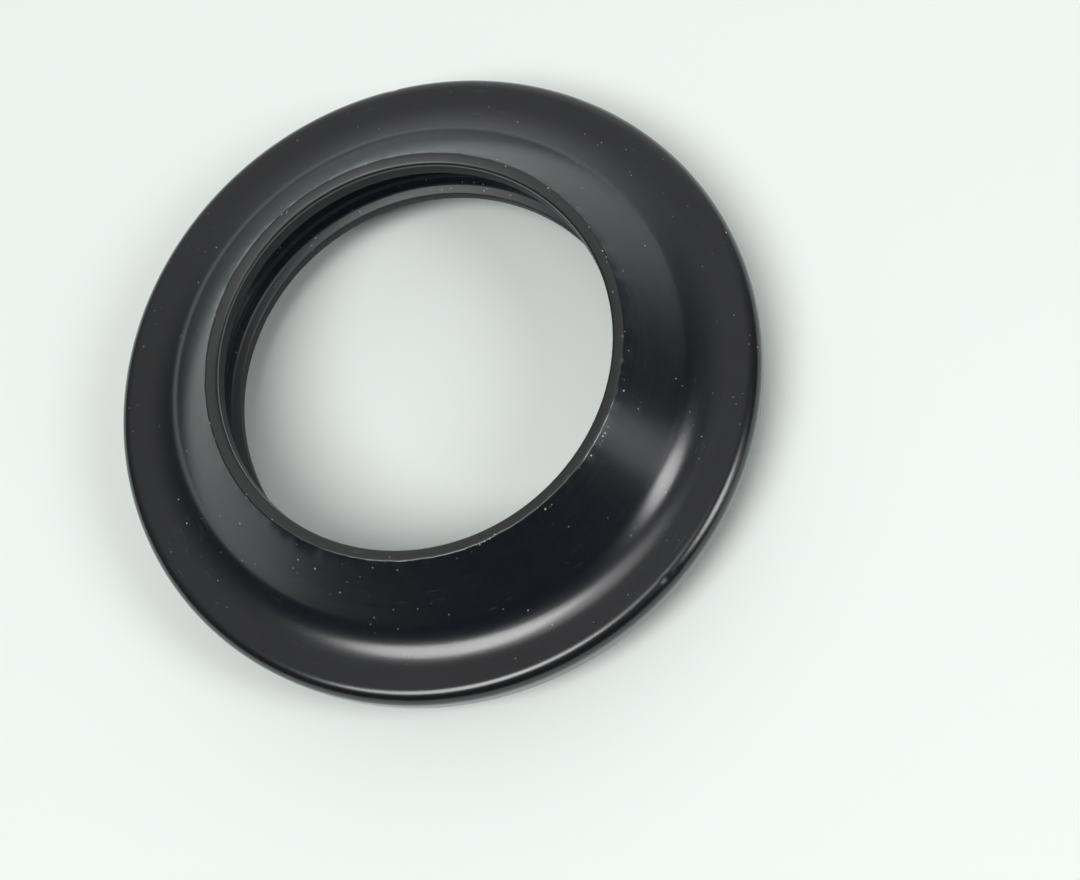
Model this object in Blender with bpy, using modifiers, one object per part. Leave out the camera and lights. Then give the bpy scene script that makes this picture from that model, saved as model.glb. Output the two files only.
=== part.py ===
"""A fork dust seal for a motorbike: one moulded rubber ring.

The ring stands on the flat end of its press-in body, with its axis on +Z.
From the bottom up it has a short body that is pressed into the fork's outer
tube, a flange that seats on that tube and has a rounded rim, a wide concave
fillet and a cone up to a narrow land, and a wiping lip that grips the fork tube.
Under the lip the bore opens into an undercut groove. Its wall narrows again,
over a fine ledge, to a small inner lip, whose underside flares out to the
body's bore.

The whole ring is one closed section, worked out below from the driving
dimensions and turned about Z.
"""

import math

import bpy

MM = 0.001

# Driving dimensions: the bore side, from the fork tube outwards
TUBE_DIAMETER = 37.0 * MM
LIP_INTERFERENCE = 0.64 * MM
LIP_DRAFT = 0.08 * MM
LIP_DEPTH = 1.9 * MM
LIP_UNDERCUT_ANGLE = math.radians(45.0)
GROOVE_DEPTH = 2.45 * MM
GROOVE_LEAN = math.radians(29.0)
LEDGE_RISE = 0.85 * MM
LEDGE_WIDTH = 0.14 * MM
LEDGE_LIFT = 0.08 * MM
INNER_LIP_INTERFERENCE = 0.05 * MM
INNER_LIP_WIDTH = 0.8 * MM
INNER_LIP_DROP = 1.2 * MM
INNER_LIP_FALL = 0.25 * MM
INNER_LIP_FACE = 1.2 * MM
INNER_LIP_DRAFT = 0.1 * MM
INNER_LIP_HEIGHT = 2.85 * MM
INNER_LIP_FLARE = 1.05 * MM
INNER_LIP_CHAMFER = 0.6 * MM
BODY_CLEARANCE = 3.7 * MM

# Driving dimensions: the outside, from the bottom up
BODY_WALL = 2.8 * MM
BODY_DEPTH = 4.0 * MM
BODY_LEAD_IN = 0.8 * MM
BODY_BORE_CHAMFER = 0.3 * MM
FLANGE_THICKNESS = 3.8 * MM
RIM_DRAFT = math.radians(4.0)
FLANGE_FLAT = 1.55 * MM
FILLET_RADIUS = 5.0 * MM
CONE_ANGLE = math.radians(47.6)
LIP_HEIGHT = 6.4 * MM
LAND_WIDTH = 1.01 * MM
LAND_FALL = 0.18 * MM

# Small edge radii
RIM_EDGE_RADIUS = 1.25 * MM
RIM_FOOT_RADIUS = 1.2 * MM
LAND_EDGE_RADIUS = 0.3 * MM
LIP_EDGE_RADIUS = 0.35 * MM
LIP_TIP_RADIUS = 0.12 * MM
GROOVE_RADIUS = 0.9 * MM
INNER_LIP_TIP_RADIUS = 0.2 * MM
INNER_LIP_ROOT_RADIUS = 0.35 * MM
BODY_CORNER_RADIUS = 0.6 * MM
SEAT_RADIUS = 0.4 * MM

# How finely the round stretches are cut
TURN_STEPS = 88
RIM_STEPS = 6
FILLET_STEPS = 8
EDGE_STEPS = 2
CORNER_STEPS = 3

RUBBER_COLOUR = (0.018, 0.019, 0.021, 1.0)
RUBBER_ROUGHNESS = 0.36


def clear_scene():
    for item in list(bpy.data.objects):
        bpy.data.objects.remove(item, do_unlink=True)


def make_rubber():
    rubber = bpy.data.materials.new("black_rubber")
    rubber.use_nodes = True
    shader = rubber.node_tree.nodes["Principled BSDF"]
    shader.inputs["Base Color"].default_value = RUBBER_COLOUR
    shader.inputs["Roughness"].default_value = RUBBER_ROUGHNESS
    shader.inputs["Metallic"].default_value = 0.0
    rubber.diffuse_color = RUBBER_COLOUR
    return rubber


def arc(centre, radius, start, end, steps):
    """Points on a circle about centre, from the start angle to the end angle."""
    points = []
    for i in range(steps + 1):
        angle = start + (end - start) * i / steps
        points.append((centre[0] + radius * math.cos(angle), centre[1] + radius * math.sin(angle)))
    return points


def rounded(before, corner, after, radius, steps):
    """The arc that rounds a corner between two straight sides.

    It touches both sides. Where a side is too short for the radius, the
    touching points stay within half of that side, so that the arcs at both
    ends of a side never meet.
    """
    to_before = (before[0] - corner[0], before[1] - corner[1])
    to_after = (after[0] - corner[0], after[1] - corner[1])
    length_before = math.hypot(*to_before)
    length_after = math.hypot(*to_after)
    unit_before = (to_before[0] / length_before, to_before[1] / length_before)
    unit_after = (to_after[0] / length_after, to_after[1] / length_after)
    half_angle = math.acos(unit_before[0] * unit_after[0] + unit_before[1] * unit_after[1]) / 2.0
    reach = min(radius / math.tan(half_angle), 0.48 * length_before, 0.48 * length_after)
    fitted = reach * math.tan(half_angle)
    middle = (unit_before[0] + unit_after[0], unit_before[1] + unit_after[1])
    scale = fitted / math.sin(half_angle) / math.hypot(*middle)
    centre = (corner[0] + middle[0] * scale, corner[1] + middle[1] * scale)
    start = math.atan2(corner[1] + unit_before[1] * reach - centre[1],
                       corner[0] + unit_before[0] * reach - centre[0])
    end = math.atan2(corner[1] + unit_after[1] * reach - centre[1],
                     corner[0] + unit_after[0] * reach - centre[0])
    turn = (end - start + math.pi) % (2.0 * math.pi) - math.pi
    return arc(centre, fitted, start, start + turn, steps)


def seal_section():
    """The closed outline of the ring's section, as (radius, height) pairs.

    It runs down the outside from the land, round the rim, across the bottom
    of the body and up the bore side to the lip.
    """
    tube_radius = TUBE_DIAMETER / 2.0
    flange_top = BODY_DEPTH + FLANGE_THICKNESS
    crown = flange_top + LIP_HEIGHT

    tip_radius = tube_radius - LIP_INTERFERENCE
    land_inner = (tip_radius + LIP_DRAFT, crown - LAND_FALL)
    land_outer = (land_inner[0] + LAND_WIDTH, crown)

    # The cone meets the flange's plane here if nothing rounds the corner
    cone_foot = (land_outer[0] + LIP_HEIGHT / math.tan(CONE_ANGLE), flange_top)
    fillet_reach = FILLET_RADIUS * math.tan(CONE_ANGLE / 2.0)
    fillet_centre = (cone_foot[0] + fillet_reach, flange_top + FILLET_RADIUS)

    # The rim's two arcs touch one wall, which leans in by its draft on the way down
    rim_edge_centre = (fillet_centre[0] + FLANGE_FLAT, flange_top - RIM_EDGE_RADIUS)
    rim_foot_height = BODY_DEPTH + RIM_FOOT_RADIUS
    lean = (rim_edge_centre[1] - rim_foot_height) * math.tan(RIM_DRAFT)
    step_in = (RIM_EDGE_RADIUS - RIM_FOOT_RADIUS) / math.cos(RIM_DRAFT)
    rim_foot_centre = (rim_edge_centre[0] + step_in - lean, rim_foot_height)

    body_bore = tube_radius + BODY_CLEARANCE
    body_outer = body_bore + BODY_WALL
    seat_corner = (body_outer, BODY_DEPTH)
    lead_in_top = (body_outer, BODY_LEAD_IN)
    lead_in_foot = (body_outer - BODY_LEAD_IN, 0.0)
    bore_foot = (body_bore + BODY_BORE_CHAMFER, 0.0)
    bore_chamfer_top = (body_bore, BODY_BORE_CHAMFER)

    inner_tip_radius = tube_radius - INNER_LIP_INTERFERENCE
    inner_root = (inner_tip_radius + INNER_LIP_WIDTH, flange_top - INNER_LIP_DROP)
    inner_tip = (inner_tip_radius, inner_root[1] - INNER_LIP_FALL)
    flare_top = (inner_tip_radius + INNER_LIP_DRAFT, inner_tip[1] - INNER_LIP_FACE)
    flare_foot = (inner_tip_radius + INNER_LIP_FLARE, inner_tip[1] - INNER_LIP_HEIGHT)
    shoulder_edge = (flare_foot[0] + INNER_LIP_CHAMFER, flare_foot[1] - INNER_LIP_CHAMFER)
    body_corner = (body_bore, shoulder_edge[1])

    # The groove's wall leans out on the way up from the inner lip
    ledge_inner = (inner_root[0] + LEDGE_RISE * math.tan(GROOVE_LEAN), inner_root[1] + LEDGE_RISE)
    ledge_outer = (ledge_inner[0] + LEDGE_WIDTH, ledge_inner[1] + LEDGE_LIFT)
    groove_radius = tube_radius + GROOVE_DEPTH
    lip_tip = (tip_radius, crown - LIP_DEPTH)
    groove_top = (groove_radius, lip_tip[1] - (groove_radius - tip_radius) * math.tan(LIP_UNDERCUT_ANGLE))

    outline = rounded(land_inner, land_outer, cone_foot, LAND_EDGE_RADIUS, EDGE_STEPS)
    outline += arc(fillet_centre, FILLET_RADIUS, -math.pi / 2.0 - CONE_ANGLE, -math.pi / 2.0, FILLET_STEPS)
    outline += arc(rim_edge_centre, RIM_EDGE_RADIUS, math.pi / 2.0, -RIM_DRAFT, RIM_STEPS)
    outline += arc(rim_foot_centre, RIM_FOOT_RADIUS, -RIM_DRAFT, -math.pi / 2.0, RIM_STEPS)
    outline += rounded((rim_foot_centre[0], BODY_DEPTH), seat_corner, lead_in_top, SEAT_RADIUS, CORNER_STEPS)
    outline += [lead_in_top, lead_in_foot, bore_foot, bore_chamfer_top]
    outline += rounded(bore_chamfer_top, body_corner, shoulder_edge, BODY_CORNER_RADIUS, CORNER_STEPS)
    outline += [shoulder_edge, flare_foot, flare_top]
    outline += rounded(flare_top, inner_tip, inner_root, INNER_LIP_TIP_RADIUS, EDGE_STEPS)
    outline += rounded(inner_tip, inner_root, ledge_inner, INNER_LIP_ROOT_RADIUS, EDGE_STEPS)
    outline += [ledge_inner, ledge_outer]
    outline += rounded(ledge_outer, groove_top, lip_tip, GROOVE_RADIUS, CORNER_STEPS)
    outline += rounded(groove_top, lip_tip, land_inner, LIP_TIP_RADIUS, EDGE_STEPS)
    outline += rounded(lip_tip, land_inner, land_outer, LIP_EDGE_RADIUS, EDGE_STEPS)
    return outline


def turn_about_z(name, outline, collection, material):
    """A closed outline in the XZ plane, turned once about Z."""
    points = [(radius, 0.0, height) for radius, height in outline]
    count = len(points)
    edges = [(i, (i + 1) % count) for i in range(count)]
    mesh = bpy.data.meshes.new(name)
    mesh.from_pydata(points, edges, [])
    mesh.materials.append(material)
    body = bpy.data.objects.new(name, mesh)
    collection.objects.link(body)

    screw = body.modifiers.new("turn", 'SCREW')
    screw.axis = 'Z'
    screw.angle = 2.0 * math.pi
    screw.steps = TURN_STEPS
    screw.render_steps = TURN_STEPS
    screw.use_merge_vertices = True
    screw.merge_threshold = 0.000001
    screw.use_smooth_shade = True
    return body


def main():
    clear_scene()
    parts = bpy.data.collections.new("fork_dust_seal")
    bpy.context.scene.collection.children.link(parts)
    turn_about_z("dust_seal", seal_section(), parts, make_rubber())


main()
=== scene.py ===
"""The looks of a motorbike fork dust seal: its moulded rubber, dust, floor, light and camera.

The section is worked out from a few sizes, as straight runs and arcs, and
turned about Z on a fine grid. Lengths are in metres and angles in radians.
"""

import math

import bpy
import numpy as np
from bpy.props import FloatProperty, FloatVectorProperty, IntProperty, PointerProperty
from mathutils import Matrix, Vector


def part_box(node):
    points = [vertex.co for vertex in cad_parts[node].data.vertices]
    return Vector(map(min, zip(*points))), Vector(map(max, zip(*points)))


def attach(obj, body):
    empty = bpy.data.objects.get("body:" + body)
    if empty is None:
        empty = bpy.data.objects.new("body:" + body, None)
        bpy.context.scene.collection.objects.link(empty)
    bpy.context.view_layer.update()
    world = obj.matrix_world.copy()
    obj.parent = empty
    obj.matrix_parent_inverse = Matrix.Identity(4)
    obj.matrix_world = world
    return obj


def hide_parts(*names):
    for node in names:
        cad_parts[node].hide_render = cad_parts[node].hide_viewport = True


bl_info = {
    "name": "Fork Dust Seal",
    "version": (1, 0, 0),
    "blender": (4, 5, 0),
    "location": "View3D > Sidebar > Dust Seal",
    "description": "Makes the moulded rubber ring, its dust and a pale studio",
    "category": "Add Mesh",
}

MM = 0.001
NODE = "dust_seal"
BODY = "root"

# The longest step on a straight run, the steps of the large arcs, and the most that an arc takes of a side
RUN_STEP = 0.9 * MM
FILLET_STEPS = 18
RIM_EDGE_STEPS = 18
RIM_FOOT_STEPS = 12
SIDE_SHARE = 0.48

# The land's trimmed edge: reach of the wander from the edge, and its waves round the ring
TRIM_REACH = 0.3 * MM
TRIM_WAVES = (5, 11, 19, 34, 47, 83)
TRIM_SEED = 4

# The share of a nick's depth that goes off both the radius and the height
NICK_SHARE = 0.7

# Nicks: turn in degrees, radius, height, width and depth in millimetres
NICKS = (
    (-77.6, 29.2, 7.55, 0.4, 0.06),
    (-75.4, 29.4, 7.4, 0.3, 0.05),
    (-36.0, 19.0, 14.2, 0.35, 0.07),
    (-42.5, 19.0, 14.2, 0.3, 0.06),
    (-118.0, 18.9, 14.15, 0.3, 0.05),
    (127.0, 18.95, 14.2, 0.35, 0.06),
    (64.0, 29.5, 7.3, 0.35, 0.07),
)

# Noises: scale per metre, and detail
STREAKS = (2400.0, 2.0)
HAZE_CLOUDS = (90.0, 4.0)
HAZE_GRAIN = (900.0, 3.0)
GLOSS_CLOUDS = (140.0, 3.0)
GRAIN = (2600.0, 2.0)
DUST_PATCHES = (110.0, 2.0)
CHIP_PATCHES = (240.0, 2.0)
SCRATCHES = (9000.0, 0.0)
SCRATCH_PATCHES = (210.0, 2.0)

# The level of a noise above which its marks show
DUST_LEVEL = 0.5
CHIP_LEVEL = 0.51
SCRATCH_LEVEL = 0.76
SCRATCH_PATCH_LEVEL = 0.58

# Specks of dust: cells per metre, size as a share of a cell, and the share of cells that have one
FINE_SPECKS = (1600.0, 0.09, 0.7)
COARSE_SPECKS = (950.0, 0.062, 0.28)
EDGE_CHIPS = (2600.0, 0.18, 0.9)
SMALLEST_SPECK = 0.35
RAGGED_SCALE = 4200.0
RAGGED_REACH = 0.10 * MM
DUST_ROUGHNESS = 0.9

# Lengthwise streaks: radius of the small circle that stands for the turn, the height's share beside the
# radius, their relief beside the grain's, and how much lighter they make the land
STREAK_CIRCLE = 1.6 * MM
STREAK_HEIGHT = -0.7
STREAK_RELIEF = 0.6
LAND_STREAK = 1.5

# Where each look starts and ends, beside the section's own corners
EDGE_SOFT = 0.05 * MM
LAND_START = 0.1 * MM
LAND_DROP = 0.32 * MM
# The cone and fillet's band, which takes a painted bluish reflection tint
CONE_START = 0.8 * MM
CONE_END = 4.2 * MM
CONE_SOFT = 0.9 * MM
CHIPS_INWARD = 0.15 * MM
CHIPS_OUTWARD = 0.45 * MM
CHIPS_SOFT = 0.1 * MM
LIP_FACE_REACH = 0.06 * MM
INNER_FACE_DROP = 0.1 * MM
GROOVE_REACH = 0.2 * MM
INNER_LIP_RISE = 0.15 * MM

RUBBER_IOR = 1.7
GLOSS_SPREAD = 0.06
SHEEN_ROUGHNESS = 0.3
SHEEN_TINT = (0.85, 0.93, 1.0, 1.0)
GRAIN_BUMP = 0.10
GRAIN_DEPTH = 0.02 * MM

FLOOR_HALF = 1.5
FLOOR_LEVEL = -0.02 * MM
FLOOR_ROUGHNESS = 0.7

# Softboxes: name, turn, elevation and roll in degrees, width and height, and the property with the level
LAMPS = (
    ("large_softbox", -150.0, 65.5, -45.0, 0.40, 0.70, "lamp_light"),
    ("small_softbox", -48.0, 40.5, -6.0, 0.30, 0.52, "lamp_light"),
    ("fill_softbox", -46.0, 16.0, 0.0, 0.30, 0.25, "fill_light"),
    ("top_softbox", -105.0, 81.0, 0.0, 0.45, 0.45, "overhead_light"),
)
LAMP_DISTANCE = 1.0
SENSOR_WIDTH = 36.0

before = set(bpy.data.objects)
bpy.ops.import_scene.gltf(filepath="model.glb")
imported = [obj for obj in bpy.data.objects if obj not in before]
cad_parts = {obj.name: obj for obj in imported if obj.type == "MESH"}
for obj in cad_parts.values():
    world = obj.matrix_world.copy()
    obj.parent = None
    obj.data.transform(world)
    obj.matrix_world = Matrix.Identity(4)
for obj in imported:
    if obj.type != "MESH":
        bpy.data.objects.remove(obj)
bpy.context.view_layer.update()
seal_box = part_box(NODE)
OUTER_RADIUS = seal_box[1][0]
TOTAL_HEIGHT = seal_box[1][2]


class SealSizes(bpy.types.PropertyGroup):
    """Sizes of the seal's section."""

    tube_radius: FloatProperty(name="Tube radius", description="Half the fork tube's diameter",
                               default=18.5 * MM, unit='LENGTH')
    interference: FloatProperty(name="Lip interference",
                                description="How far the lip reaches inside the tube's surface",
                                default=0.64 * MM, unit='LENGTH')
    lip_draft: FloatProperty(name="Lip draft",
                             description="How much wider the lip's face is at the top than at its tip",
                             default=0.08 * MM, unit='LENGTH')
    lip_depth: FloatProperty(name="Lip depth", description="From the land down to the lip's tip",
                             default=1.9 * MM, unit='LENGTH')
    undercut_angle: FloatProperty(name="Undercut angle", description="Slope of the lip's underside",
                                  default=math.radians(45.0), subtype='ANGLE')
    groove_depth: FloatProperty(name="Groove depth",
                                description="From the tube's surface out to the groove's wall",
                                default=2.45 * MM, unit='LENGTH')
    groove_lean: FloatProperty(name="Groove lean",
                               description="How far the groove's wall leans out on the way up",
                               default=math.radians(29.0), subtype='ANGLE')
    ledge_rise: FloatProperty(name="Ledge rise", description="From the inner lip's root up to the fine ledge",
                              default=0.85 * MM, unit='LENGTH')
    ledge_width: FloatProperty(name="Ledge width", description="Width of the fine ledge on the groove's wall",
                               default=0.14 * MM, unit='LENGTH')
    ledge_lift: FloatProperty(name="Ledge lift", description="How much the ledge rises across its width",
                              default=0.08 * MM, unit='LENGTH')
    inner_interference: FloatProperty(name="Inner lip interference",
                                      description="How far the inner lip reaches inside the tube's surface",
                                      default=0.05 * MM, unit='LENGTH')
    inner_width: FloatProperty(name="Inner lip width", description="From the inner lip's tip out to its root",
                               default=0.8 * MM, unit='LENGTH')
    inner_drop: FloatProperty(name="Inner lip drop",
                              description="From the flange's top down to the inner lip's root",
                              default=1.2 * MM, unit='LENGTH')
    inner_fall: FloatProperty(name="Inner lip fall",
                              description="How far the inner lip slopes down to its tip",
                              default=0.25 * MM, unit='LENGTH')
    inner_face: FloatProperty(name="Inner lip face", description="Height of the inner lip's upright face",
                              default=1.2 * MM, unit='LENGTH')
    inner_draft: FloatProperty(name="Inner lip draft", description="How much wider that face is at its foot",
                               default=0.1 * MM, unit='LENGTH')
    inner_height: FloatProperty(name="Inner lip height",
                                description="From the inner lip's tip down to its lower edge",
                                default=2.85 * MM, unit='LENGTH')
    inner_flare: FloatProperty(name="Inner lip flare",
                               description="How far its underside flares out on the way down",
                               default=1.05 * MM, unit='LENGTH')
    inner_chamfer: FloatProperty(name="Inner lip chamfer",
                                 description="Chamfer at the inner lip's lower edge",
                                 default=0.6 * MM, unit='LENGTH')
    body_clearance: FloatProperty(name="Body clearance",
                                  description="Gap between the press-in body and the tube",
                                  default=3.7 * MM, unit='LENGTH')
    body_wall: FloatProperty(name="Body wall", description="Thickness of the press-in body",
                             default=2.8 * MM, unit='LENGTH')
    body_depth: FloatProperty(name="Body depth", description="Height of the press-in body under the flange",
                              default=4.0 * MM, unit='LENGTH')
    lead_in: FloatProperty(name="Lead-in", description="Chamfer at the foot of the press-in body",
                           default=0.8 * MM, unit='LENGTH')
    bore_chamfer: FloatProperty(name="Bore chamfer", description="Chamfer at the foot of the body's bore",
                                default=0.3 * MM, unit='LENGTH')
    flange_thickness: FloatProperty(name="Flange thickness",
                                    description="Thickness of the flange and its rounded rim",
                                    default=3.8 * MM, unit='LENGTH')
    rim_edge: FloatProperty(name="Rim edge", description="Radius of the rim's upper edge",
                            default=1.25 * MM, unit='LENGTH')
    rim_foot: FloatProperty(name="Rim foot", description="Radius of the rim's lower edge",
                            default=1.2 * MM, unit='LENGTH')
    rim_draft: FloatProperty(name="Rim draft", description="How far the rim's wall leans in on the way down",
                             default=math.radians(4.0), subtype='ANGLE')
    fillet_radius: FloatProperty(name="Fillet radius", description="Radius between the cone and the flange",
                                 default=5.0 * MM, unit='LENGTH')
    cone_angle: FloatProperty(name="Cone angle", description="Slope of the cone",
                              default=math.radians(47.6), subtype='ANGLE')
    lip_height: FloatProperty(name="Lip height", description="From the flange's top up to the land",
                              default=6.4 * MM, unit='LENGTH')
    land_width: FloatProperty(name="Land width", description="Width of the flat land round the lip",
                              default=1.01 * MM, unit='LENGTH')
    land_fall: FloatProperty(name="Land fall", description="How far the land slopes down to the lip",
                             default=0.18 * MM, unit='LENGTH')
    edge_wander: FloatProperty(name="Edge wander", description="How far the land's trimmed edge strays",
                               default=0.09 * MM, unit='LENGTH')
    turn_steps: IntProperty(name="Turn steps", description="Points round the ring", default=600)


class SealFinish(bpy.types.PropertyGroup):
    """Colour and gloss of the rubber and its dust."""

    flange: FloatVectorProperty(name="Flange",
                                description="Colour of the flange and the bore", subtype='COLOR',
                                default=(0.0024, 0.0025, 0.0038))
    # The cone's colour is bluer and slightly darker than the flange's: a painted reflection tint on the same
    # rubber
    cone: FloatVectorProperty(name="Cone", description="Colour of the cone and the fillet", subtype='COLOR',
                              default=(0.0012, 0.0020, 0.0066))
    haze: FloatVectorProperty(name="Haze", description="Colour of the thin film of dust", subtype='COLOR',
                              default=(0.008, 0.010, 0.013))
    dust: FloatVectorProperty(name="Dust", description="Colour of the specks", subtype='COLOR',
                              default=(0.52, 0.53, 0.52))
    scratch: FloatVectorProperty(name="Scratch", description="Colour of the short scratches", subtype='COLOR',
                                 default=(0.021, 0.023, 0.024))
    land: FloatVectorProperty(name="Land", description="Colour of the trimmed land", subtype='COLOR',
                              default=(0.0042, 0.0054, 0.0050))
    sheen: FloatProperty(name="Sheen",
                         description="Strength of the dusty sheen at grazing angles", default=0.2)
    streak_roughness: FloatProperty(name="Streak roughness",
                                    description="How much the fine streaks change the gloss",
                                    default=0.07)
    roughness: FloatProperty(name="Roughness", description="Roughness of the moulded skin", default=0.23)
    land_roughness: FloatProperty(name="Land roughness",
                                  description="Roughness of the trimmed land", default=0.44)
    bore_roughness: FloatProperty(name="Bore roughness",
                                  description="Roughness of both lips' faces and the ledge",
                                  default=0.95)
    inner_lip_roughness: FloatProperty(name="Inner lip roughness",
                                       description="Roughness of the inner lip's top",
                                       default=0.48)


class Studio(bpy.types.PropertyGroup):
    """Floor, lamps and camera."""

    floor: FloatVectorProperty(name="Floor", description="Colour of the floor", subtype='COLOR',
                               default=(0.88, 0.93, 0.90))
    low_light: FloatProperty(name="Low light", description="Level of the soft light all round", default=0.07)
    top_light: FloatProperty(name="Top light", description="Level of the soft light from above", default=0.32)
    top_direction: FloatVectorProperty(name="Top direction",
                                       description="Where the light from above is strongest",
                                       subtype='DIRECTION', default=(0.0, 0.42, 0.91))
    side_light: FloatProperty(name="Side light",
                              description="Level of the soft light from the far side", default=0.72)
    side_direction: FloatVectorProperty(name="Side direction",
                                        description="Where the light from the side is strongest",
                                        subtype='DIRECTION', default=(0.57, 0.82, 0.09))
    lamp_light: FloatProperty(name="Lamp light",
                              description="Radiance of the large and the small softbox", default=7.8)
    fill_light: FloatProperty(name="Fill light", description="Radiance of the low, weak softbox", default=1.4)
    overhead_light: FloatProperty(name="Overhead light",
                                  description="Radiance of the softbox overhead", default=1.85)
    tilt: FloatProperty(name="Tilt", description="Angle between the seal's axis and the line of sight",
                        default=math.radians(23.0), subtype='ANGLE')
    roll: FloatProperty(name="Roll", description="Turn of the picture about the line of sight",
                        default=math.radians(36.34), subtype='ANGLE')
    distance: FloatProperty(name="Distance",
                            description="From the camera to the flange, along the line of sight",
                            default=216.0 * MM, unit='LENGTH')
    shift_right: FloatProperty(name="Shift right",
                               description="The seal's place in the picture, to the right",
                               default=-9.63 * MM, unit='LENGTH')
    shift_up: FloatProperty(name="Shift up", description="The seal's place in the picture, upwards",
                            default=5.44 * MM, unit='LENGTH')
    aim_height: FloatProperty(name="Aim height",
                              description="Height on the axis that the camera's place is set from",
                              default=6.885 * MM, unit='LENGTH')
    focal: FloatProperty(name="Focal length", description="Focal length as a share of the picture's width",
                         default=2400.0 / 1080.0)


def line(start, end, steps):
    """Points on a straight run: start plus the share t of the way to end."""
    share = np.linspace(0.0, 1.0, steps + 1)[:, None]
    return np.array(start) + share * (np.array(end) - np.array(start))


def arc(centre, radius, start, end, steps):
    """Points on a circle: the centre plus the radius times the angle's cosine and sine."""
    angle = np.linspace(start, end, steps + 1)
    return np.stack([centre[0] + radius * np.cos(angle), centre[1] + radius * np.sin(angle)], axis=1)


def rounded(before, corner, after, radius, steps):
    """An arc that touches the two straight sides of a corner.

    Its centre lies on the corner's bisector, at the radius over the sine of
    half the corner's angle. A short side limits the radius.
    """
    corner = np.array(corner)
    to_before = np.array(before) - corner
    to_after = np.array(after) - corner
    length_before = np.linalg.norm(to_before)
    length_after = np.linalg.norm(to_after)
    unit_before = to_before / length_before
    unit_after = to_after / length_after
    half_angle = math.acos(float(unit_before @ unit_after)) / 2.0
    reach = min(radius / math.tan(half_angle), SIDE_SHARE * length_before, SIDE_SHARE * length_after)
    fitted = reach * math.tan(half_angle)
    bisector = unit_before + unit_after
    centre = corner + bisector / np.linalg.norm(bisector) * fitted / math.sin(half_angle)
    first = corner + unit_before * reach - centre
    last = corner + unit_after * reach - centre
    start = math.atan2(first[1], first[0])
    turn = (math.atan2(last[1], last[0]) - start + math.pi) % (2.0 * math.pi) - math.pi
    return arc(centre, fitted, start, start + turn, steps)


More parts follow.
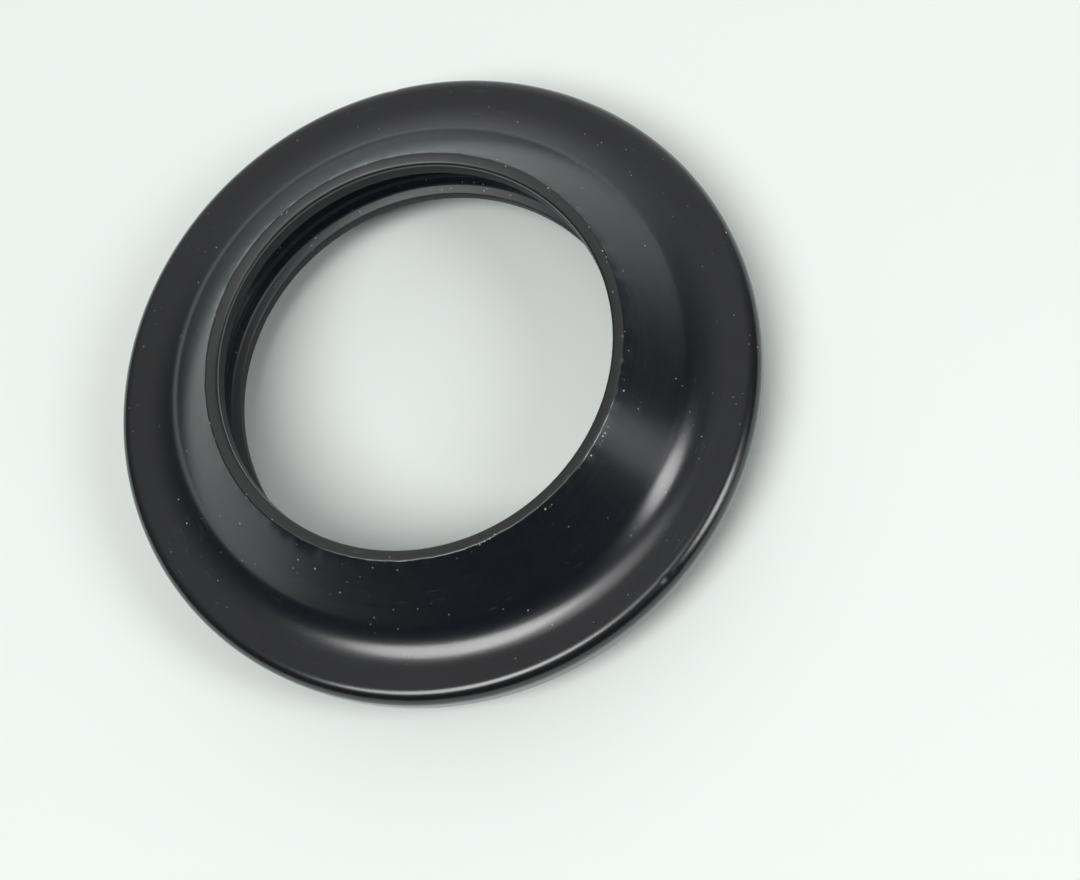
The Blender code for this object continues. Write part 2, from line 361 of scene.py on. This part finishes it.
def seal_section(s):
    """The closed section as an array of radius and height.

    It runs down the outside from the land, round the rim, across the foot of
    the body and up the bore side. Each straight run joins two arcs.
    """
    flange_top = s.body_depth + s.flange_thickness
    crown = flange_top + s.lip_height
    tip_radius = s.tube_radius - s.interference
    land_inner = (tip_radius + s.lip_draft, crown - s.land_fall)
    land_outer = (land_inner[0] + s.land_width, crown)
    cone_foot = (land_outer[0] + s.lip_height / math.tan(s.cone_angle), flange_top)
    fillet_reach = s.fillet_radius * math.tan(s.cone_angle / 2.0)
    fillet_centre = (cone_foot[0] + fillet_reach, flange_top + s.fillet_radius)
    rim_edge_centre = (OUTER_RADIUS - s.rim_edge, flange_top - s.rim_edge)
    rim_foot_height = s.body_depth + s.rim_foot
    lean = (rim_edge_centre[1] - rim_foot_height) * math.tan(s.rim_draft)
    step_in = (s.rim_edge - s.rim_foot) / math.cos(s.rim_draft)
    rim_foot_centre = (rim_edge_centre[0] + step_in - lean, rim_foot_height)
    body_bore = s.tube_radius + s.body_clearance
    body_outer = body_bore + s.body_wall
    inner_radius = s.tube_radius - s.inner_interference
    inner_root = (inner_radius + s.inner_width, flange_top - s.inner_drop)
    inner_tip = (inner_radius, inner_root[1] - s.inner_fall)
    flare_top = (inner_radius + s.inner_draft, inner_tip[1] - s.inner_face)
    flare_foot = (inner_radius + s.inner_flare, inner_tip[1] - s.inner_height)
    shoulder_edge = (flare_foot[0] + s.inner_chamfer, flare_foot[1] - s.inner_chamfer)
    ledge_inner = (inner_root[0] + s.ledge_rise * math.tan(s.groove_lean), inner_root[1] + s.ledge_rise)
    ledge_outer = (ledge_inner[0] + s.ledge_width, ledge_inner[1] + s.ledge_lift)
    groove = s.tube_radius + s.groove_depth
    lip_tip = (tip_radius, crown - s.lip_depth)
    groove_top = (groove, lip_tip[1] - (groove - tip_radius) * math.tan(s.undercut_angle))

    seat = (body_outer, s.body_depth)
    lead_in_top = (body_outer, s.lead_in)
    lead_in_foot = (body_outer - s.lead_in, 0.0)
    bore_foot = (body_bore + s.bore_chamfer, 0.0)
    bore_chamfer_top = (body_bore, s.bore_chamfer)
    body_corner = (body_bore, shoulder_edge[1])

    # Each corner from the seat to the land, with the radius and the steps of the arc that rounds it
    corners = (
        (seat, 0.4 * MM, 5),
        (lead_in_top, 0.12 * MM, 2),
        (lead_in_foot, 0.12 * MM, 2),
        (bore_foot, 0.08 * MM, 2),
        (bore_chamfer_top, 0.08 * MM, 2),
        (body_corner, 0.6 * MM, 5),
        (shoulder_edge, 0.15 * MM, 2),
        (flare_foot, 0.12 * MM, 3),
        (flare_top, 0.15 * MM, 2),
        (inner_tip, 0.2 * MM, 5),
        (inner_root, 0.3 * MM, 4),
        (ledge_inner, 0.1 * MM, 3),
        (ledge_outer, 0.12 * MM, 3),
        (groove_top, 0.9 * MM, 6),
        (lip_tip, 0.12 * MM, 4),
        (land_inner, 0.35 * MM, 6),
        (land_outer, 0.3 * MM, 7),
    )
    chain = [(rim_foot_centre[0], s.body_depth)] + [corner for corner, radius, steps in corners] + [cone_foot]
    bends = [rounded(before, corner, after, radius, steps)
             for before, (corner, radius, steps), after in zip(chain, corners, chain[2:])]
    quarter = math.pi / 2.0
    runs = [
        bends[-1],
        arc(fillet_centre, s.fillet_radius, -quarter - s.cone_angle, -quarter, FILLET_STEPS),
        arc(rim_edge_centre, s.rim_edge, quarter, -s.rim_draft, RIM_EDGE_STEPS),
        arc(rim_foot_centre, s.rim_foot, -s.rim_draft, -quarter, RIM_FOOT_STEPS),
    ] + bends[:-1]
    points = []
    for i, run in enumerate(runs):
        points.append(run)
        after = runs[(i + 1) % len(runs)][0]
        gap = float(np.linalg.norm(after - run[-1]))
        inner = int(gap / RUN_STEP)
        if inner > 0:
            points.append(line(run[-1], after, inner + 1)[1:-1])
    return np.concatenate(points)


def ripple(azimuth, waves, seed):
    """An even, seamless wobble: the mean of sines of whole numbers of waves, each with its own phase."""
    phases = np.random.default_rng(seed).uniform(0.0, 2.0 * math.pi, len(waves))
    return sum(np.sin(n * azimuth + p) for n, p in zip(waves, phases)) / len(waves)


def ring_grid(section, turn_steps):
    """Radius, height and azimuth of every point of the section turned about Z, one row for each turn step."""
    azimuth = np.arange(turn_steps) * 2.0 * math.pi / turn_steps
    radius = np.broadcast_to(section[:, 0], (turn_steps, len(section)))
    height = np.broadcast_to(section[:, 1], (turn_steps, len(section)))
    turn = np.broadcast_to(azimuth[:, None], radius.shape)
    return radius.copy(), height.copy(), turn


def trimmed_land(s, radius, height, azimuth):
    """The land's outer edge, trimmed a little unevenly.

    Near that edge, the radius takes the ripple times the edge's wander times
    a bell curve of the distance from the edge.
    """
    crown = s.body_depth + s.flange_thickness + s.lip_height
    edge = s.tube_radius - s.interference + s.lip_draft + s.land_width
    away = np.hypot(radius - edge, height - crown)
    near = np.exp(-(away / TRIM_REACH) ** 2)
    return radius + s.edge_wander * near * ripple(azimuth, TRIM_WAVES, TRIM_SEED)


def nicked(radius, height, azimuth):
    """Small dents in the edges.

    Each takes a share of its depth off both the radius and the height, times
    a bell curve of the distance from its middle.
    """
    for turn, middle, level, width, depth in NICKS:
        across = (azimuth - math.radians(turn) + math.pi) % (2.0 * math.pi) - math.pi
        away = np.sqrt((across * radius) ** 2 + (radius - middle * MM) ** 2 + (height - level * MM) ** 2)
        dent = depth * MM * np.exp(-(away / (width * MM)) ** 2)
        radius = radius - NICK_SHARE * dent
        height = height - NICK_SHARE * dent
    return radius, height


def grid_mesh(name, radius, height, azimuth):
    """Quads between points at the radius times the azimuth's cosine and sine, by the height.

    The grid closes in both directions: round the axis and round the section.
    """
    turns, points = radius.shape
    places = np.stack([radius * np.cos(azimuth), radius * np.sin(azimuth), height], axis=-1)
    i, j = np.meshgrid(np.arange(turns), np.arange(points), indexing='ij')
    corner = i * points + j
    right = ((i + 1) % turns) * points + j
    down = i * points + (j + 1) % points
    diagonal = ((i + 1) % turns) * points + (j + 1) % points
    quads = np.stack([corner, down, diagonal, right], axis=-1).reshape(-1, 4)

    mesh = bpy.data.meshes.new(name)
    mesh.vertices.add(turns * points)
    mesh.vertices.foreach_set("co", places.reshape(-1))
    mesh.loops.add(quads.size)
    mesh.loops.foreach_set("vertex_index", quads.reshape(-1).astype(np.int32))
    mesh.polygons.add(len(quads))
    mesh.polygons.foreach_set("loop_start", np.arange(0, quads.size, 4, dtype=np.int32))
    mesh.polygons.foreach_set("use_smooth", np.ones(len(quads), dtype=bool))
    mesh.update(calc_edges=True)
    mesh.validate()
    return mesh


def maths(tree, operation, *values):
    """A Math node on up to three inputs, each a socket or a number."""
    node = tree.nodes.new("ShaderNodeMath")
    node.operation = operation
    for i, value in enumerate(values):
        if isinstance(value, (int, float)):
            node.inputs[i].default_value = value
        else:
            tree.links.new(value, node.inputs[i])
    return node.outputs[0]


def vectors(tree, operation, *values):
    """A Vector Math node on up to three inputs, each a socket or three numbers."""
    node = tree.nodes.new("ShaderNodeVectorMath")
    node.operation = operation
    for i, value in enumerate(values):
        if isinstance(value, (tuple, Vector)):
            node.inputs[i].default_value = value
        else:
            tree.links.new(value, node.inputs[i])
    return node


def under(tree, value, limit):
    return maths(tree, 'LESS_THAN', value, limit)


def above(tree, value, limit):
    return maths(tree, 'GREATER_THAN', value, limit)


def both(tree, first, second):
    return maths(tree, 'MULTIPLY', first, second)


def either(tree, first, second):
    return maths(tree, 'MAXIMUM', first, second)


def ramp(tree, value, start, end, first, last):
    """A smooth step from the first number to the last, as the value goes from start to end."""
    node = tree.nodes.new("ShaderNodeMapRange")
    node.interpolation_type = 'SMOOTHSTEP'
    tree.links.new(value, node.inputs["Value"])
    node.inputs["From Min"].default_value = start
    node.inputs["From Max"].default_value = end
    node.inputs["To Min"].default_value = first
    node.inputs["To Max"].default_value = last
    return node.outputs[0]


def band(tree, value, low, high, soft):
    """One between low and high, falling to nothing over a soft edge."""
    return both(tree, ramp(tree, value, low - soft, low + soft, 0.0, 1.0),
                ramp(tree, value, high - soft, high + soft, 1.0, 0.0))


def noise(tree, place, scale, detail):
    """A plain noise from nothing to one."""
    node = tree.nodes.new("ShaderNodeTexNoise")
    tree.links.new(place, node.inputs["Vector"])
    node.inputs["Scale"].default_value = scale
    node.inputs["Detail"].default_value = detail
    return node.outputs["Fac"]


def warped(tree, place, scale, amount):
    """The place, shifted by a noise of its own, so that round specks turn into ragged ones."""
    wobble = tree.nodes.new("ShaderNodeTexNoise")
    tree.links.new(place, wobble.inputs["Vector"])
    wobble.inputs["Scale"].default_value = scale
    centred = vectors(tree, 'SUBTRACT', wobble.outputs["Color"], (0.5, 0.5, 0.5))
    return vectors(tree, 'MULTIPLY_ADD', centred.outputs[0], (amount, amount, amount), place).outputs[0]


def specks(tree, place, scale, size, share):
    """Specks near the points of Voronoi cells, each with a strength of its own.

    A cell has one where its random red is under the share, its random green
    sets the speck's size and its random blue, squared, its strength.
    """
    cells = tree.nodes.new("ShaderNodeTexVoronoi")
    cells.feature = 'F1'
    tree.links.new(place, cells.inputs["Vector"])
    cells.inputs["Scale"].default_value = scale
    split = tree.nodes.new("ShaderNodeSeparateColor")
    tree.links.new(cells.outputs["Color"], split.inputs["Color"])
    chosen = under(tree, split.outputs["Red"], share)
    grown = maths(tree, 'MULTIPLY_ADD', split.outputs["Green"], size, SMALLEST_SPECK * size)
    near = under(tree, cells.outputs["Distance"], grown)
    strength = maths(tree, 'POWER', split.outputs["Blue"], 2.0)
    return both(tree, both(tree, chosen, near), strength)


def streak_place(tree, flat, radius, height):
    """A place for lengthwise streaks.

    The direction from the axis goes round a small circle, and across it go
    the radius and a share of the height.
    """
    direction = vectors(tree, 'NORMALIZE', flat)
    circle = vectors(tree, 'SCALE', direction.outputs[0])
    circle.inputs["Scale"].default_value = STREAK_CIRCLE
    across = tree.nodes.new("ShaderNodeCombineXYZ")
    tree.links.new(maths(tree, 'MULTIPLY_ADD', height, STREAK_HEIGHT, radius), across.inputs["Z"])
    return vectors(tree, 'ADD', circle.outputs[0], across.outputs[0]).outputs[0]


def mix_colour(tree, factor, first, second):
    """The first colour where the factor is nothing and the second where it is one."""
    node = tree.nodes.new("ShaderNodeMix")
    node.data_type = 'RGBA'
    tree.links.new(factor, node.inputs["Factor"])
    for socket, value in (("A", first), ("B", second)):
        slot = [item for item in node.inputs if item.name == socket and item.type == 'RGBA'][0]
        if isinstance(value, tuple):
            slot.default_value = value
        else:
            tree.links.new(value, slot)
    return [item for item in node.outputs if item.type == 'RGBA'][0]


def ring_masks(tree, sizes, radius, height):
    """Masks by radius and height: the land, its edge, the cone for its painted bluish tint, the bore's dull
    faces, the inner lip's top.
    """
    tip_radius = sizes.tube_radius - sizes.interference
    edge = tip_radius + sizes.lip_draft + sizes.land_width
    inner_radius = sizes.tube_radius - sizes.inner_interference
    inner_root = sizes.body_depth + sizes.flange_thickness - sizes.inner_drop
    ledge = inner_root + sizes.ledge_rise
    groove = sizes.tube_radius + sizes.groove_depth

    lip_face = under(tree, radius, tip_radius + LIP_FACE_REACH)
    inner_face = both(tree, under(tree, radius, inner_radius + sizes.inner_flare),
                      under(tree, height, inner_root - sizes.inner_fall - INNER_FACE_DROP))
    inside = under(tree, radius, groove + GROOVE_REACH)
    on_ledge = both(tree, inside, band(tree, height, ledge - EDGE_SOFT, ledge + sizes.ledge_lift + EDGE_SOFT,
                                       EDGE_SOFT))
    return {
        "land": both(tree, band(tree, radius, tip_radius + LAND_START, edge, EDGE_SOFT),
                     above(tree, height, TOTAL_HEIGHT - LAND_DROP)),
        "land_edge": band(tree, radius, edge - CHIPS_INWARD, edge + CHIPS_OUTWARD, CHIPS_SOFT),
        "cone": band(tree, radius, tip_radius + CONE_START, OUTER_RADIUS - CONE_END, CONE_SOFT),
        "bore": either(tree, either(tree, lip_face, inner_face), on_ledge),
        "inner_lip": both(tree, inside, under(tree, height, inner_root + INNER_LIP_RISE)),
    }


def dust_mask(tree, place, land_edge):
    """Fine specks in patches, coarse ones all over, and pale chips along the land's edge."""
    ragged = warped(tree, place, RAGGED_SCALE, RAGGED_REACH)
    patches = above(tree, noise(tree, place, *DUST_PATCHES), DUST_LEVEL)
    fine = both(tree, specks(tree, ragged, *FINE_SPECKS), patches)
    coarse = specks(tree, ragged, *COARSE_SPECKS)
    by_edge = both(tree, land_edge, above(tree, noise(tree, place, *CHIP_PATCHES), CHIP_LEVEL))
    chips = both(tree, specks(tree, ragged, *EDGE_CHIPS), by_edge)
    return either(tree, either(tree, fine, coarse), chips)


def rubber_colour(tree, finish, place, lengthwise, streaks, masks, dust):
    """The moulded skin with a painted bluish reflection tint on the cone, under its haze, the streaked land,
    short scratches, and the dust on top.
    """
    # The cone and fillet get a bluer, slightly darker colour than the flange: a painted reflection tint on the
    # one rubber
    skin = mix_colour(tree, masks["cone"], (*finish.flange, 1.0), (*finish.cone, 1.0))
    haze = both(tree, noise(tree, place, *HAZE_CLOUDS), noise(tree, place, *HAZE_GRAIN))
    hazed = mix_colour(tree, haze, skin, (*finish.haze, 1.0))
    streaked = (*(LAND_STREAK * c for c in finish.land), 1.0)
    trimmed = mix_colour(tree, streaks, (*finish.land, 1.0), streaked)
    rubber = mix_colour(tree, masks["land"], hazed, trimmed)
    scratches = both(tree, above(tree, noise(tree, lengthwise, *SCRATCHES), SCRATCH_LEVEL),
                     above(tree, noise(tree, place, *SCRATCH_PATCHES), SCRATCH_PATCH_LEVEL))
    scratched = mix_colour(tree, scratches, rubber, (*finish.scratch, 1.0))
    return mix_colour(tree, dust, scratched, (*finish.dust, 1.0))


def rubber_roughness(tree, finish, place, streaks, masks, dust):
    """The skin's roughness, cloudy and streaked, with the duller land, inner lip, bore and dust."""
    even = finish.roughness - 0.5 * GLOSS_SPREAD - 0.5 * finish.streak_roughness
    skin = maths(tree, 'MULTIPLY_ADD', noise(tree, place, *GLOSS_CLOUDS), GLOSS_SPREAD, even)
    worn = maths(tree, 'MULTIPLY_ADD', streaks, finish.streak_roughness, skin)
    level = maths(tree, 'MULTIPLY_ADD', masks["land"], finish.land_roughness - finish.roughness, worn)
    for mask, roughness in ((masks["inner_lip"], finish.inner_lip_roughness),
                            (masks["bore"], finish.bore_roughness), (dust, DUST_ROUGHNESS)):
        level = either(tree, level, both(tree, mask, roughness))
    return level


def rubber_material(sizes, finish):
    """Satin black rubber with a thin haze, fine grain, specks of dust and a duller trimmed land."""
    material = bpy.data.materials.new("moulded_rubber")
    material.use_nodes = True
    tree = material.node_tree
    shader = tree.nodes["Principled BSDF"]
    place = tree.nodes.new("ShaderNodeTexCoord").outputs["Object"]
    split = tree.nodes.new("ShaderNodeSeparateXYZ")
    tree.links.new(place, split.inputs[0])
    height = split.outputs["Z"]
    flat = tree.nodes.new("ShaderNodeCombineXYZ")
    tree.links.new(split.outputs["X"], flat.inputs["X"])
    tree.links.new(split.outputs["Y"], flat.inputs["Y"])
    radius = vectors(tree, 'LENGTH', flat.outputs[0]).outputs["Value"]

    masks = ring_masks(tree, sizes, radius, height)
    lengthwise = streak_place(tree, flat.outputs[0], radius, height)
    streaks = noise(tree, lengthwise, *STREAKS)
    dust = dust_mask(tree, place, masks["land_edge"])
    colour = rubber_colour(tree, finish, place, lengthwise, streaks, masks, dust)
    roughness = rubber_roughness(tree, finish, place, streaks, masks, dust)
    tree.links.new(colour, shader.inputs["Base Color"])
    tree.links.new(roughness, shader.inputs["Roughness"])
    shader.inputs["IOR"].default_value = RUBBER_IOR
    shader.distribution = 'GGX'
    shader.inputs["Sheen Weight"].default_value = finish.sheen
    shader.inputs["Sheen Roughness"].default_value = SHEEN_ROUGHNESS
    shader.inputs["Sheen Tint"].default_value = SHEEN_TINT

    bump = tree.nodes.new("ShaderNodeBump")
    bump.inputs["Strength"].default_value = GRAIN_BUMP
    bump.inputs["Distance"].default_value = GRAIN_DEPTH
    relief = maths(tree, 'MULTIPLY_ADD', streaks, STREAK_RELIEF, noise(tree, place, *GRAIN))
    tree.links.new(relief, bump.inputs["Height"])
    tree.links.new(bump.outputs["Normal"], shader.inputs["Normal"])
    return material


class DUST_SEAL_OT_ring(bpy.types.Operator):
    """Make the moulded rubber ring in place of the plain CAD solid"""

    bl_idname = "dust_seal.ring"
    bl_label = "Rubber ring"

    def execute(self, context):
        sizes = context.scene.seal_sizes
        finish = context.scene.seal_finish
        section = seal_section(sizes)
        radius, height, azimuth = ring_grid(section, sizes.turn_steps)
        radius = trimmed_land(sizes, radius, height, azimuth)
        radius, height = nicked(radius, height, azimuth)
        mesh = grid_mesh("rubber_ring", radius, height, azimuth)
        mesh.materials.append(rubber_material(sizes, finish))
        ring = bpy.data.objects.new("rubber_ring", mesh)
        context.scene.collection.objects.link(ring)
        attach(ring, BODY)
        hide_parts(NODE)
        return {'FINISHED'}


def soft_lamp(name, azimuth, elevation, roll, width, height, radiance, aim):
    """An oval softbox that faces the aim; its power is pi times its area times its radiance."""
    direction = Vector((math.cos(elevation) * math.cos(azimuth), math.cos(elevation) * math.sin(azimuth),
                        math.sin(elevation)))
    lamp = bpy.data.lights.new(name, 'AREA')
    lamp.shape = 'ELLIPSE'
    lamp.size = width
    lamp.size_y = height
    lamp.energy = math.pi * (math.pi / 4.0 * width * height) * radiance
    holder = bpy.data.objects.new(name, lamp)
    holder.location = aim + direction * LAMP_DISTANCE
    turn = direction.to_track_quat('Z', 'Y').to_matrix() @ Matrix.Rotation(roll, 3, 'Z')
    holder.rotation_euler = turn.to_euler()
    bpy.context.scene.collection.objects.link(holder)


def glow(tree, view, direction, level, base):
    """Soft light on top of a base: the level times the cube of the cosine from its direction."""
    along = vectors(tree, 'DOT_PRODUCT', view, Vector(direction).normalized()).outputs["Value"]
    near = maths(tree, 'POWER', maths(tree, 'MAXIMUM', along, 0.0), 3.0)
    return maths(tree, 'MULTIPLY_ADD', near, level, base)


class DUST_SEAL_OT_studio(bpy.types.Operator):
    """Make the pale floor, the soft lamps and the camera"""

    bl_idname = "dust_seal.studio"
    bl_label = "Studio"

    def execute(self, context):
        studio = context.scene.seal_studio
        self.make_floor(context, studio)
        self.make_light(context, studio)
        self.make_camera(context, studio)
        context.scene.view_settings.view_transform = 'Standard'
        return {'FINISHED'}

    def make_floor(self, context, studio):
        half = FLOOR_HALF
        mesh = bpy.data.meshes.new("floor")
        corners = [(-half, -half), (half, -half), (half, half), (-half, half)]
        mesh.from_pydata([(x, y, FLOOR_LEVEL) for x, y in corners], [], [(0, 1, 2, 3)])
        material = bpy.data.materials.new("pale_floor")
        material.use_nodes = True
        shader = material.node_tree.nodes["Principled BSDF"]
        shader.inputs["Base Color"].default_value = (*studio.floor, 1.0)
        shader.inputs["Roughness"].default_value = FLOOR_ROUGHNESS
        mesh.materials.append(material)
        floor = bpy.data.objects.new("floor", mesh)
        context.scene.collection.objects.link(floor)

    def make_light(self, context, studio):
        world = bpy.data.worlds.new("even_light")
        world.use_nodes = True
        tree = world.node_tree
        background = tree.nodes["Background"]
        view = tree.nodes.new("ShaderNodeTexCoord").outputs["Generated"]
        overhead = glow(tree, view, studio.top_direction, studio.top_light, studio.low_light)
        level = glow(tree, view, studio.side_direction, studio.side_light, overhead)
        background.inputs["Color"].default_value = (1.0, 1.0, 1.0, 1.0)
        tree.links.new(level, background.inputs["Strength"])
        context.scene.world = world
        aim = Vector((0.0, 0.0, 0.5 * TOTAL_HEIGHT))
        for name, turn, elevation, roll, width, height, level_name in LAMPS:
            soft_lamp(name, math.radians(turn), math.radians(elevation), math.radians(roll),
                      width, height, getattr(studio, level_name), aim)

    def make_camera(self, context, studio):
        """The seal's axis is tilted from the line of sight and then turned in the picture."""
        turn = Matrix.Rotation(studio.roll, 3, 'Z') @ Matrix.Rotation(-studio.tilt, 3, 'X')
        offset = Vector((studio.shift_right, studio.shift_up, -studio.distance))
        place = turn.transposed() @ -offset + Vector((0.0, 0.0, studio.aim_height))
        lens = bpy.data.cameras.new("camera")
        lens.sensor_fit = 'HORIZONTAL'
        lens.sensor_width = SENSOR_WIDTH
        lens.lens = SENSOR_WIDTH * studio.focal
        lens.clip_start = 0.01
        lens.clip_end = 10.0
        camera = bpy.data.objects.new("camera", lens)
        camera.matrix_world = Matrix.Translation(place) @ turn.transposed().to_4x4()
        context.scene.collection.objects.link(camera)
        context.scene.camera = camera


class DUST_SEAL_PT_panel(bpy.types.Panel):
    """The seal's tools, in the sidebar"""

    bl_label = "Dust Seal"
    bl_space_type = 'VIEW_3D'
    bl_region_type = 'UI'
    bl_category = "Dust Seal"

    def draw(self, context):
        layout = self.layout
        for operator in OPERATORS:
            layout.operator(operator.bl_idname)


GROUPS = {"seal_sizes": SealSizes, "seal_finish": SealFinish, "seal_studio": Studio}
OPERATORS = (DUST_SEAL_OT_ring, DUST_SEAL_OT_studio)


def register():
    for group in GROUPS.values():
        bpy.utils.register_class(group)
    for name, group in GROUPS.items():
        setattr(bpy.types.Scene, name, PointerProperty(type=group))
    for operator in OPERATORS:
        bpy.utils.register_class(operator)
    bpy.utils.register_class(DUST_SEAL_PT_panel)


def unregister():
    bpy.utils.unregister_class(DUST_SEAL_PT_panel)
    for operator in reversed(OPERATORS):
        bpy.utils.unregister_class(operator)
    for name in GROUPS:
        delattr(bpy.types.Scene, name)
    for group in reversed(list(GROUPS.values())):
        bpy.utils.unregister_class(group)


def main():
    register()
    bpy.ops.dust_seal.ring()
    bpy.ops.dust_seal.studio()


if __name__ == "__main__":
    main()
